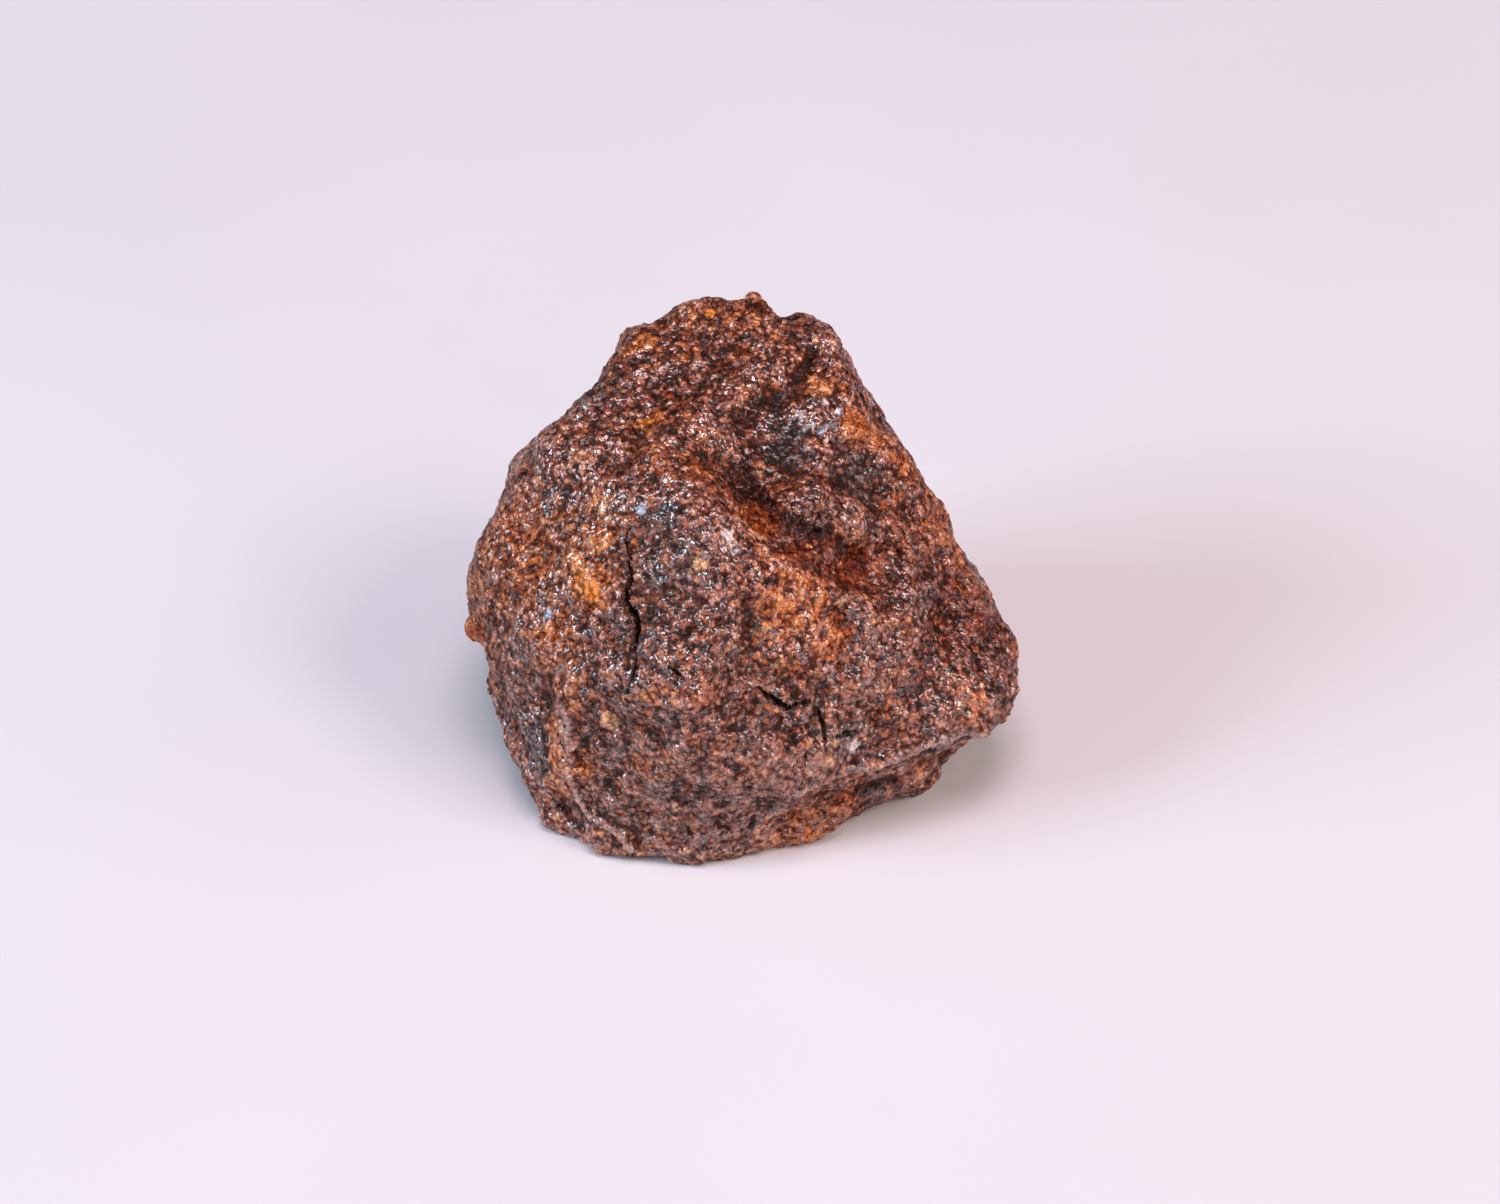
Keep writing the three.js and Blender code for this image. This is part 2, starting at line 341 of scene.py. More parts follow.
GREY = [
    ((3.9, 0.6, 35.7), 3.8, 0.9),
    ((11.3, 0.4, 32.8), 4.0, 1.0),
    ((-8.1, -12.6, 30.2), 2.2, 0.9),
    ((-7.6, -9.2, 34.9), 3.4, 0.6),
    ((-9.1, -16.6, 26.0), 1.8, 0.9),
    ((12.9, -15.4, 5.0), 2.2, 1.2),
    ((-21.6, -10.4, 19.4), 3.6, 0.5),
    ((-15.0, 6.2, 38.0), 4.5, 0.6),
    ((-20.8, -12.2, 11.9), 2.0, 0.8),
    ((-20.2, -13.6, 8.0), 2.4, 0.8),
    ((1.0, -20.3, 17.1), 2.6, 0.6),
    ((-5.8, -20.5, 10.7), 4.5, 0.4),
    ((5.0, 12.0, 41.5), 3.0, 0.4),
    ((11.3, -17.4, 14.5), 3.0, 0.5),
    ((-6.0, 19.0, 30.0), 6.0, 0.7),
    ((16.0, 14.0, 26.0), 5.0, 0.6),
    ((-14.0, 16.0, 6.0), 6.0, 0.6),
    ((-6.0, -12.5, 32.0), 4.5, 0.55),
]
# Darker patches: dark grains of their own, and painted shade in the hollows and along the valley.
DARK = [
    ((23.8, -6.6, 17.5), 6.0, 0.7),
    ((20.5, -6.0, 21.5), 5.0, 0.5),
    ((1.2, 0.6, 36.6), 2.4, 0.8),
    ((6.5, -4.6, 32.6), 2.6, 0.8),
    ((11.3, 0.4, 32.8), 4.0, 0.5),
    ((12.9, -15.4, 5.0), 2.4, 1.0),
    ((-20.6, -12.6, 10.5), 3.0, 0.6),
    ((1.0, -20.3, 17.1), 2.4, 0.5),
    ((-14.6, 7.0, 38.3), 4.0, 0.5),
    ((-1.0, 10.0, 41.2), 4.0, 0.4),
    ((3.0, 2.0, 36.6), 4.5, 0.8),
    ((13.8, 1.6, 32.0), 3.0, 0.6),
    ((26.0, -7.0, 14.0), 5.0, 0.5),
    ((2.0, 13.0, 42.0), 6.0, 0.4),
]
DULL = [
    ((-22.5, -3.0, 26.0), 9.0, 0.5),
    ((-24.5, -7.0, 16.0), 7.0, 0.5),
    ((-2.0, -20.0, 12.0), 9.0, 0.25),
    ((10.0, -17.0, 4.5), 6.0, 0.6),
    ((-26.5, -3.8, 16.6), 3.0, 1.0),
    ((-25.5, -3.0, 22.0), 4.5, 0.8),
    ((12.3, 4.8, 35.8), 3.0, 1.0),
    ((18.0, 3.0, 29.0), 8.0, 0.7),
    ((0.0, 13.0, 42.0), 7.0, 0.6),
    ((3.0, -7.0, 32.8), 2.4, 0.9),
    ((11.0, -6.0, 26.4), 2.8, 0.8),
    ((22.0, -4.5, 19.5), 6.0, 0.3),
    ((-14.0, 8.0, 38.5), 4.0, 0.5),
    ((0.0, 20.0, 16.0), 11.0, 0.7),
    ((22.0, 8.0, 10.0), 8.0, 0.6),
]
WET = [
    ((7.6, 3.6, 37.9), 2.6, 1.2),
    ((13.2, -12.8, 22.0), 4.5, 1.0),
    ((-1.0, -11.5, 34.5), 4.5, 1.0),
    ((-7.0, 0.5, 38.2), 5.0, 0.9),
    ((-8.3, -12.0, 31.0), 3.6, 1.1),
    ((-7.0, -8.8, 35.2), 3.6, 0.9),
    ((3.0, -14.0, 28.5), 6.0, 0.5),
    ((-18.0, -11.0, 24.0), 4.0, 0.7),
    ((-14.0, -17.0, 12.0), 5.0, 0.7),
    ((5.0, 4.0, 37.5), 5.0, 0.6),
    ((11.7, -14.9, 19.5), 4.0, 0.8),
    ((2.0, -17.4, 22.0), 4.0, 0.6),
    ((20.0, -9.5, 17.0), 6.0, 0.9),
    ((9.0, -18.0, 14.0), 5.0, 1.0),
    ((2.0, -20.0, 14.0), 7.0, 0.8),
    ((-8.0, -19.5, 12.0), 7.0, 0.8),
    ((-21.5, -9.0, 20.0), 4.0, 1.0),
    ((-19.5, -13.5, 11.0), 5.0, 0.9),
]
PATCHES = {"rust": RUST, "red": RED, "grey": GREY, "dark": DARK, "wet": WET}

# Single grains and glints that catch the eye: (place, size, colour). The cream and amber ones are
# grains of their own colour; the white and bluish ones are painted glints, highlights put into the
# colour.
PAINTED_GLINT_WHITE = (0.72, 0.56, 0.52)
CREAM = (0.80, 0.38, 0.17)
AMBER = (0.95, 0.28, 0.04)
PAINTED_GLINT_BLUISH = (0.55, 0.58, 0.70)
MARKED_GRAINS = [
    ((-1.1, -11.5, 34.8), 0.6, PAINTED_GLINT_WHITE),
    ((-0.2, -12.2, 33.9), 0.6, PAINTED_GLINT_WHITE),
    ((-14.8, -11.4, 28.3), 1.2, AMBER),
    ((-15.7, -10.2, 29.2), 0.8, AMBER),
    ((-13.3, -9.0, 31.6), 0.7, AMBER),
    ((-13.0, -6.4, 34.0), 0.5, CREAM),
    ((-9.5, -8.1, 35.3), 0.5, PAINTED_GLINT_BLUISH),
    ((-18.7, -10.7, 24.3), 0.4, PAINTED_GLINT_BLUISH),
    ((10.0, -11.6, 26.6), 0.5, CREAM),
    ((-3.8, -12.7, 32.4), 0.6, CREAM),
    ((4.0, -14.0, 28.1), 0.8, AMBER),
    ((-9.3, 2.1, 37.9), 0.6, AMBER),
    ((-3.0, 14.1, 42.2), 0.5, AMBER),
    ((8.6, 5.9, 39.1), 0.45, AMBER),
    ((11.3, -17.8, 13.5), 0.6, PAINTED_GLINT_WHITE),
    ((8.4, -19.4, 12.8), 0.6, CREAM),
    ((9.2, -18.6, 14.7), 0.5, CREAM),
    ((-12.6, -17.8, 16.9), 0.8, CREAM),
    ((-9.6, -20.6, 1.3), 0.6, AMBER),
    ((5.9, 3.5, 37.8), 0.4, PAINTED_GLINT_WHITE),
    ((6.7, 2.5, 37.4), 0.5, PAINTED_GLINT_WHITE),
    ((7.8, 2.3, 37.2), 0.5, PAINTED_GLINT_BLUISH),
    ((9.0, 2.9, 37.2), 0.4, PAINTED_GLINT_WHITE),
    ((9.8, 4.2, 37.6), 0.4, PAINTED_GLINT_BLUISH),
    ((8.4, 4.8, 38.4), 0.4, PAINTED_GLINT_WHITE),
]
# A mark is strongest over its grain, and reaches this many times its size.
MARK_STRENGTH = 1.5
MARK_REACH = 1.5

# Colours of the grains, as ramps of (position, albedo) from the darkest grain to the palest.
CRUST_RAMP = [
    (0.00, (0.028, 0.009, 0.005)),
    (0.30, (0.098, 0.022, 0.010)),
    (0.55, (0.285, 0.074, 0.032)),
    (0.78, (0.480, 0.155, 0.078)),
    (1.00, (0.740, 0.380, 0.270)),
]
RUST_RAMP = [
    (0.00, (0.070, 0.012, 0.004)),
    (0.35, (0.340, 0.066, 0.012)),
    (0.65, (0.640, 0.165, 0.024)),
    (1.00, (0.850, 0.380, 0.110)),
]
RED_RAMP = [
    (0.00, (0.030, 0.005, 0.002)),
    (0.50, (0.240, 0.036, 0.008)),
    (1.00, (0.560, 0.140, 0.038)),
]
GREY_RAMP = [
    (0.00, (0.026, 0.012, 0.009)),
    (0.50, (0.115, 0.057, 0.047)),
    (1.00, (0.420, 0.260, 0.230)),
]
# The colour of the paler edges: wear on the flakes and the ledge, a painted highlight on the left
# rim.
WEAR_AND_HIGHLIGHT_COLOUR = (0.50, 0.32, 0.27, 1)
# Painted shade in the cracks' mouths.
CRACK_SHADE_COLOUR = (0.006, 0.004, 0.004, 1)

# A point is high when it stands this far, in mm, over its surroundings, which are this many
# rounds of neighbours wide for a grain and for a form. Forms count less than grains. This
# height is painted into the colour: painted light on the tops, painted shade in low places.
HIGH = 0.28
GRAIN_ROUNDS = 5
FORM_ROUNDS = 40
FORM_SHADE = 0.25

# The crust's material: sizes of its grains and of the chips on them, the tilt of their faces, the
# roundness of their tops, and how far their borders are bent.
CELL_SIZE = 0.62
CHIP_SIZE = 0.34
FACET_TILT = 0.5
DOME_POWER = 2.0
BEND = 0.5
HALF_GREY = (0.5, 0.5, 0.5)

# Clouds of noise: (size, detail, roughness). The floor's is in metres.
CLOUDS = {
    "bend": (0.6, 1.0, 0.5),
    "gap": (1.1, 2.0, 0.5),
    "wave": (0.8, 0.0, 0.5),
    "grit": (0.14, 2.0, 0.5),
    "cloud": (1.4, 4.0, 0.65),
    "fleck": (0.48, 1.0, 0.5),
    "speckle": (0.2, 1.0, 0.5),
    "blots": (4.0, 3.0, 0.6),
    "spots": (1.3, 1.0, 0.5),
    "varnish": (2.6, 3.0, 0.6),
    "roughness": (0.3, 4.0, 0.5),
    "floor": (0.07, 3.0, 0.5),
}

# Ranges: (low, high, what low becomes, what high becomes).
RANGES = {
    "nick": (0.3, 0.8, 0.0, 1.0),
    "gap": (0.35, 0.75, 0.0, 1.0),
    "gap by cloud": (0.35, 0.6, 0.2, 1.0),
    "speckle by dull": (0.0, 1.0, 0.3, 1.6),
    "edge by dull": (0.0, 1.0, 1.0, 0.4),
    "rust blots": (0.53, 0.73, 0.0, 0.6),
    "red blots": (0.56, 0.76, 0.0, 0.6),
    "grey blots": (0.60, 0.80, 0.0, 0.6),
    "spots": (0.58, 0.70, 0.0, 0.6),
    "patch": (0.2, 0.9, 0.0, 1.0),
    "rusty grain": (0.87, 0.90, 0.0, 0.7),
    "mark": (0.3, 0.6, 0.0, 1.0),
    "mark by tone": (0.1, 0.8, 0.35, 1.3),
    "worn by chip": (0.2, 0.6, 0.2, 0.8),
    "varnish": (0.40, 0.56, 0.45, 1.0),
    "varnish by dull": (0.0, 1.0, 1.0, 0.2),
    "varnish by high": (-0.6, 0.1, 0.2, 1.0),
    "varnish by gap": (0.0, 0.8, 1.0, 0.1),
    "roughness": (0.3, 0.7, 0.35, 0.75),
    "floor": (0.3, 0.7, 0.0, 1.0),
}

# How much each value counts in the bumps of the grains and of the skin over them, in mm, and in
# the tone, which is 0 for the darkest grain and 1 for the palest. Rusty places are a bit lighter.
ROUGH_WEIGHTS = {"lean": 1.3, "gap": -0.12, "wave": 0.25, "grit": 0.02}
SKIN_WEIGHTS = {"lean": 1.0, "dome": -0.22, "wave": 0.03}
TONE_START = -0.58
# In the tone, high and edge are painted shade: low places and the gaps between grains darker, tops
# paler.
TONE_WEIGHTS = {
    "luck": 0.45,
    "chip luck": 0.35,
    "grain": 0.08,
    "cloud": 0.6,
    "fleck": 0.85,
    "high": 0.25,
    "edge": -0.5,
    "nick": -0.3,
    "speckle": 1.0,
    "dark": -0.3,
}
LIT_WEIGHTS = {"tone": 1.0, "rust": 0.10}

# Colours over the crust's own: the patches' name, a channel of noise, the tone and the ramp.
LAYERS = [
    ("grey", 2, "tone", GREY_RAMP),
    ("red", 1, "tone", RED_RAMP),
    ("rust", 0, "lit", RUST_RAMP),
]
# How ragged the patches' borders are, how strong the patches, and how single grains stray.
RAGGED = 1.6
PATCH_WEIGHT = 1.3
STRAY = 0.9

CRUST_SPECULAR = 0.15
VARNISH_ROUGHNESS = 0.11
VARNISH_IOR = 2.4

# The map of the whole crust, and how much of it the crust fills, from the middle to each side.
MAP_NAME = "OFBake"
MAP_HALF = 0.475

# The floor, in metres.
FLOOR_SIZE = 6
FLOOR_COLOURS = ((0.79, 0.77, 0.785, 1), (0.82, 0.80, 0.82, 1))
FLOOR_ROUGHNESS = 0.9
FLOOR_SPECULAR = 0.1

# The light from all sides, and the lights: azimuth (0 in front of the stone, 90 to its right),
# elevation, size in metres, power and colour.
FILL_COLOUR = (0.148, 0.130, 0.147, 1)
LIGHT_DISTANCE = 1.0
LIGHTS = {
    "cool": (-74, 27, 0.45, 7.1, (0.62, 0.83, 1.0)),
    "warm": (62, 47, 0.35, 3.2, (1.0, 0.92, 0.80)),
    "side": (84, 20, 0.5, 1.5, (1.0, 0.76, 0.84)),
    "low": (40, 12, 0.2, 1.0, (1.0, 0.92, 0.88)),
    "above": (5, 78, 0.45, 5.1, (1.0, 0.79, 0.90)),
}

# Camera, in mm: the stone's middle is a little left of and above the picture's middle.
VIEW_ELEVATION = math.radians(40)
VIEW_DISTANCE = 420.0
VIEW_SHIFT = (0.8, -1.05)
LENS = 100.8
SENSOR = 36.0


def unit(v):
    """The vectors, each made 1 long."""
    return v / np.linalg.norm(v, axis=-1, keepdims=True)


def solid_of(node):
    """The node's points in mm and its triangles."""
    mesh = node.data
    mesh.calc_loop_triangles()
    points = np.empty(len(mesh.vertices) * 3)
    mesh.vertices.foreach_get("co", points)
    corners = np.empty(len(mesh.loop_triangles) * 3, np.int32)
    mesh.loop_triangles.foreach_get("vertices", corners)
    return points.reshape(-1, 3) / MM, corners.reshape(-1, 3)


def scattered(points, triangles, count, rng):
    """Random places on the triangles, evenly by area, but few on the resting facet."""
    a, b, c = (points[triangles[:, k]] for k in range(3))
    area = np.linalg.norm(np.cross(b - a, c - a), axis=1)
    on_ground = np.maximum(np.maximum(a[:, 2], b[:, 2]), c[:, 2]) < GROUND_BAND
    weight = area * np.where(on_ground, GROUND_SHARE, 1.0)
    which = rng.choice(len(triangles), count, p=weight / weight.sum())
    u, v = rng.random((2, count, 1))
    flip = u + v > 1
    u, v = np.where(flip, 1 - u, u), np.where(flip, 1 - v, v)
    return a[which] + u * (b - a)[which] + v * (c - a)[which]


def joined(directions):
    """Which directions a shell round them all uses, and its triangles, facing outwards."""
    mesh = bpy.data.meshes.new("shell")
    mesh.from_pydata(directions.tolist(), [], [])
    shell = bmesh.new()
    shell.from_mesh(mesh)
    bmesh.ops.convex_hull(shell, input=shell.verts, use_existing_faces=False)
    shell.verts.index_update()
    triangles = np.array([[v.index for v in face.verts] for face in shell.faces])
    shell.free()
    bpy.data.meshes.remove(mesh)
    a, b, c = (directions[triangles[:, k]] for k in range(3))
    inward = (np.cross(b - a, c - a) * (a + b + c)).sum(1) < 0
    triangles[inward] = triangles[inward][:, ::-1]
    used, numbers = np.unique(triangles, return_inverse=True)
    return used, numbers.reshape(-1, 3)


def edges_of(triangles):
    """The edges, and the number of each triangle's three edges."""
    pairs = np.sort(triangles[:, [0, 1, 1, 2, 2, 0]].reshape(-1, 2), axis=1)
    edges, number = np.unique(pairs, axis=0, return_inverse=True)
    return edges, number.reshape(-1, 3)


def evened(values, edges, rounds=1, share=1.0):
    """Each point's value drawn towards the mean of its neighbours."""
    here = np.concatenate([edges[:, 0], edges[:, 1]])
    there = np.concatenate([edges[:, 1], edges[:, 0]])
    count = np.maximum(np.bincount(here, minlength=len(values)), 1)
    flat = values.reshape(len(values), -1).copy()
    for _ in range(rounds):
        for column in flat.T:
            total = np.bincount(here, weights=column[there], minlength=len(values))
            column += share * (total / count - column)
    return flat.reshape(values.shape)


def distances(tree, directions):
    """How far the solid's surface lies from CORE along each direction."""
    core = Vector(CORE)
    found = np.empty(len(directions))
    for i, d in enumerate(directions.tolist()):
        ray = Vector(d)
        gap = tree.ray_cast(core + ray * OUTSIDE, -ray)[3]
        found[i] = OUTSIDE - (OUTSIDE if gap is None else gap)
    return found


def waves(places, size, use):
    """Smooth noise from about -1 to 1, with features of this size, other for each use of it."""
    shift = Vector([use * step for step in NOISE_STRIDE])
    return np.array([noise.noise(Vector(p) / size + shift) for p in places.tolist()])


def lumps(places, size, use):
    """Rounded lumps with narrow crevices between them, from -0.5 to 0.5."""
    return np.clip(LUMP_RISE * np.abs(waves(places, size, use)), 0, 1) - 0.5


def nearness(places, middle, reach):
    """1 at the middle, falling to 0 at this reach and beyond."""
    return np.clip(1 - ((places - middle) ** 2).sum(1) / reach**2, 0, 1)


def patches_at(places, patches):
    """The patches' strength at each place, from 0 to about 1."""
    strongest = np.zeros(len(places))
    for middle, reach, strength in patches:
        here = strength * nearness(places, middle, reach) ** PATCH_FALLOFF
        strongest = np.maximum(strongest, here)
    return strongest


def lines_at(places, lines):
    """The summed strength of the lines at each place."""
    total = np.zeros(len(places))
    for line, reach, strength in lines:
        p = np.array(line)
        gap = np.full(len(places), np.inf)
        for a, b in zip(p[:-1], p[1:]):
            share = np.clip((places - a) @ (b - a) / ((b - a) @ (b - a)), 0, 1)
            away = np.linalg.norm(places - a - share[:, None] * (b - a), axis=1)
            gap = np.minimum(gap, away)
        total += strength * np.clip(1 - (gap / reach) ** 2, 0, 1) ** LINE_FALLOFF
    return total


def crack_rows(points):
    """Places along a crack's mouth, with its half gape and its sideways direction."""
    p = np.array(points)
    lengths = np.linalg.norm(np.diff(p[:, :3], axis=0), axis=1)
    along = np.concatenate([[0], np.cumsum(lengths)])
    at = np.linspace(0, along[-1], max(3, int(along[-1] / CRACK_STEP)))
    place = np.stack([np.interp(at, along, p[:, k]) for k in range(3)], 1)
    wander = waves(place, CRACK_WAVE, CRACK_NOISE)[:, None] * CRACK_WANDER
    side = unit(np.cross(np.gradient(place, axis=0), place - CORE))
    return place + side * wander, np.interp(at, along, p[:, 3]) / 2, side


def mouth_gap(directions, line):
    """How far each direction passes from the crack's line, and from which of its points."""
    reach = np.linalg.norm(line - CORE, axis=1)
    toward = (line - CORE) / reach[:, None]
    gap = np.full(len(directions), np.inf)
    closest = np.zeros(len(directions), int)
    near = np.flatnonzero(directions @ unit(toward.mean(0)) > CRACK_NEAR)
    away = np.linalg.norm(directions[near, None] - toward[None], axis=2) * reach
    gap[near], closest[near] = away.min(1), away.argmin(1)
    return gap, closest


def crack_depth(directions, row, depth):
    """How deep a crack cuts in each direction, and how black it is there."""
    line, half, _ = row
    gap, closest = mouth_gap(directions, line)
    width = half[closest]
    cut = np.sqrt(np.clip(1 - (gap / width) ** 2, 0, 1))
    black = np.clip(CRACK_SHADOW - gap / width, 0, 1)
    return depth * cut * np.clip(width / half.max(), CRACK_SHALLOW, 1), black


def cracks_at(directions, rows):
    """How deep the cracks cut in each direction, and how black they are there."""
    deepest, blackest = np.zeros((2, len(directions)))
    for (_, depth), row in zip(CRACKS, rows):
        cut, black = crack_depth(directions, row, depth)
        deepest, blackest = np.maximum(deepest, cut), np.maximum(blackest, black)
    return deepest, blackest


def base_surface(tree, directions, edges, rows):
    """The solid's surface in these directions, its faces evened out and its cracks bridged."""
    r = distances(tree, directions)
    bridged = np.zeros(len(r), bool)
    for line, _, _ in rows[:SOLID_CRACKS]:
        bridged |= mouth_gap(directions, line)[0] < CRACK_BRIDGE
    for _ in range(BRIDGE_EVENING):
        r = np.where(bridged, evened(r, edges), r)
    return evened(CORE + directions * r[:, None], edges, BASE_EVENING, GENTLE)


def grain_directions(points, solid_faces, rows, rng):
    """The grains' middles as seen from CORE, which of them are free of cracks, and triangles."""
    middles = scattered(points, solid_faces, GRAINS, rng)
    for _ in range(GRAIN_EVENING):
        used, faces = joined(unit(middles - CORE))
        middles = evened(middles[used], edges_of(faces)[0], 1, GENTLE)
    fixed = []
    for line, half, side in rows:
        away = np.linalg.norm(middles[:, None] - line[None], axis=2) - half
        middles = middles[away.min(1) > CRACK_MARGIN]
        fixed += [line, line + side * half[:, None], line - side * half[:, None]]
    places = np.concatenate([middles, *fixed])
    free = np.arange(len(places)) < len(middles)
    directions = unit(places - CORE)
    used, faces = joined(directions)
    return directions[used], free[used], faces


class Parted:
    """Each triangle between grains cut in six, so that every grain has its own border."""

    def __init__(self, directions, faces):
        self.edges, number = edges_of(faces)
        self.faces = faces
        self.grains = len(directions)
        a, b, c = faces.T
        ab, bc, ca = (number + self.grains).T
        mid = np.arange(len(faces)) + self.grains + len(self.edges)
        small = [(a, ab, mid), (ab, b, mid), (b, bc, mid), (bc, c, mid), (c, ca, mid), (ca, a, mid)]
        self.triangles = np.stack([np.stack(t, 1) for t in small], 1).reshape(-1, 3)
        self.grain = np.stack([a, b, b, c, c, a], 1).reshape(-1)
        self.all_edges = edges_of(self.triangles)[0]
        self.gaps = np.repeat(GAP_SHARES, [self.grains, len(self.edges), len(faces)])

    def spread(self, values):
        """Values at the grains' middles, carried to the borders between them."""
        return np.concatenate([values, values[self.edges].mean(1), values[self.faces].mean(1)])


def normals_of(places, triangles):
    """The surface's outward direction at each place."""
    a, b, c = (places[triangles[:, k]] for k in range(3))
    face = np.cross(b - a, c - a)
    total = np.zeros_like(places)
    for k in range(3):
        np.add.at(total, triangles[:, k], face)
    return unit(total)


def flakes_at(places):
    """Height of the flakes' steps, and how near a step's worn edge is."""
    flaky = patches_at(places, FLAKY)
    level = places[:, 2] / FLAKE_PITCH
    for i, (size, height) in enumerate(FLAKE_WAVES):
        level += height * waves(places, size, FLAKE_NOISE + i)
    part = level - np.floor(level)
    height = FLAKE_STEP * (np.clip(part * FLAKE_RISE, 0, 1) - part)
    edge = np.clip(1 - np.abs(part - FLAKE_EDGE) / FLAKE_EDGE_WIDTH, 0, 1)
    return flaky * height, flaky * edge


def grain_rise(parted, free, rng):
    """Rise of each point by its grain, before the larger forms."""
    luck = rng.random(parted.grains)
    top = GRAIN_HEIGHT * rng.uniform(*GRAIN_SPREAD, parted.grains)
    top += np.where(luck < PROUD_SHARE, PROUD_HEIGHT, 0)
    top -= np.where(luck > 1 - PIT_SHARE, PIT_DEPTH, 0)
    rise = parted.spread(top)
    rise[parted.grains :] *= BORDER_SHARE
    rise -= GRAIN_GAP * parted.gaps * rng.uniform(*GAP_SPREAD, len(rise))
    return evened(rise, parted.all_edges, 1, ROUNDING) * free


def grain_shift(parted, free, normals, rng):
    """Sideways move of each point with its grain."""
    shift = rng.normal(0, GRAIN_SHIFT, normals.shape) * free[:, None]
    shift[parted.grains :] *= BORDER_SHARE
    return shift - (shift * normals).sum(1, keepdims=True) * normals


def with_forms(rise, places, dull, flake):
    """The rise of each point by its grain, with the larger forms added."""
    for i, (size, height) in enumerate(SWELLS):
        rise = rise + height * waves(places, size, SWELL_NOISE + i)
    for i, (size, height) in enumerate(LUMPS):
        rise = rise + height * lumps(places, size, LUMP_NOISE + i) * (1 - DULL_LUMPS * dull)
    rise = rise + (flake + lines_at(places, LINES))
    for middle, reach, height in FORMS:
        rise = rise + height * nearness(places, middle, reach) ** 2
    return rise


def height_over(places, normals, edges, rounds):
    """How far each point stands over its surroundings, from -1 to 1."""
    around = evened(places, edges, rounds)
    return np.clip(((places - around) * normals).sum(1) / HIGH, -1, 1)


def smooth_stone(node, rows, rng):
    """The stone before its grains rise: its grains, its points and which are free of cracks."""
    points, solid_faces = solid_of(node)
    tree = BVHTree.FromPolygons(points.tolist(), solid_faces.tolist())
    directions, free, faces = grain_directions(points, solid_faces, rows, rng)
    parted = Parted(directions, faces)
    base = parted.spread(base_surface(tree, directions, parted.edges, rows))
    places = evened(base, parted.all_edges, CUT_EVENING, GENTLE)
    return parted, places, parted.spread(free.astype(float)) == 1


def crust_shape(node, rng):
    """The crust's grains, its points in mm, and fields that its material reads at each point."""
    rows = [crack_rows(mouth) for mouth, _ in CRACKS]
    parted, places, free = smooth_stone(node, rows, rng)
    normals = normals_of(places, parted.triangles)
    dull = patches_at(places, DULL)
    flake, flake_edge = flakes_at(places)
    rise = grain_rise(parted, free, rng) * (1 - DULL_GRAINS * dull)
    rise = with_forms(rise, places, dull, flake)
    outer = places + grain_shift(parted, free, normals, rng) + normals * rise[:, None]
    deep, black = cracks_at(unit(places - CORE), rows)
    cut = outer - unit(outer - CORE) * deep[:, None]
    cut[:, 2] = np.maximum(cut[:, 2], 0)

    worn = np.clip(flake_edge * FLAKE_WEAR + lines_at(places, WEAR_AND_HIGHLIGHT), 0, 1)
    # Painted shade: low points are painted darker and high ones paler, darker still along the
    # shaded valley.
    high = height_over(outer, normals, parted.all_edges, GRAIN_ROUNDS)
    high += FORM_SHADE * height_over(outer, normals, parted.all_edges, FORM_ROUNDS)
    high -= lines_at(places, SHADED)
    return parted, cut, {"dull": dull, "worn": worn, "crack": black, "high": high}


def add_attribute(mesh, name, kind, domain, field, values):
    """Values that the material reads by this name, one for each point or face."""
    layer = mesh.attributes.new(name, kind, domain)
    layer.data.foreach_set(field, np.ascontiguousarray(values, np.float32).ravel())


def piece_of(name, places, triangles):
    """A new object with this mesh, its places in mm."""
    mesh = bpy.data.meshes.new(name)
    mesh.vertices.add(len(places))
    mesh.vertices.foreach_set("co", (places * MM).astype(np.float32).ravel())
    mesh.loops.add(triangles.size)
    mesh.loops.foreach_set("vertex_index", triangles.ravel().astype(np.int32))
    mesh.polygons.add(len(triangles))
    mesh.polygons.foreach_set("loop_start", np.arange(0, triangles.size, 3, dtype=np.int32))
    mesh.update(calc_edges=True)
    mesh.validate()
    piece = bpy.data.objects.new(name, mesh)
    bpy.context.scene.collection.objects.link(piece)
    return piece


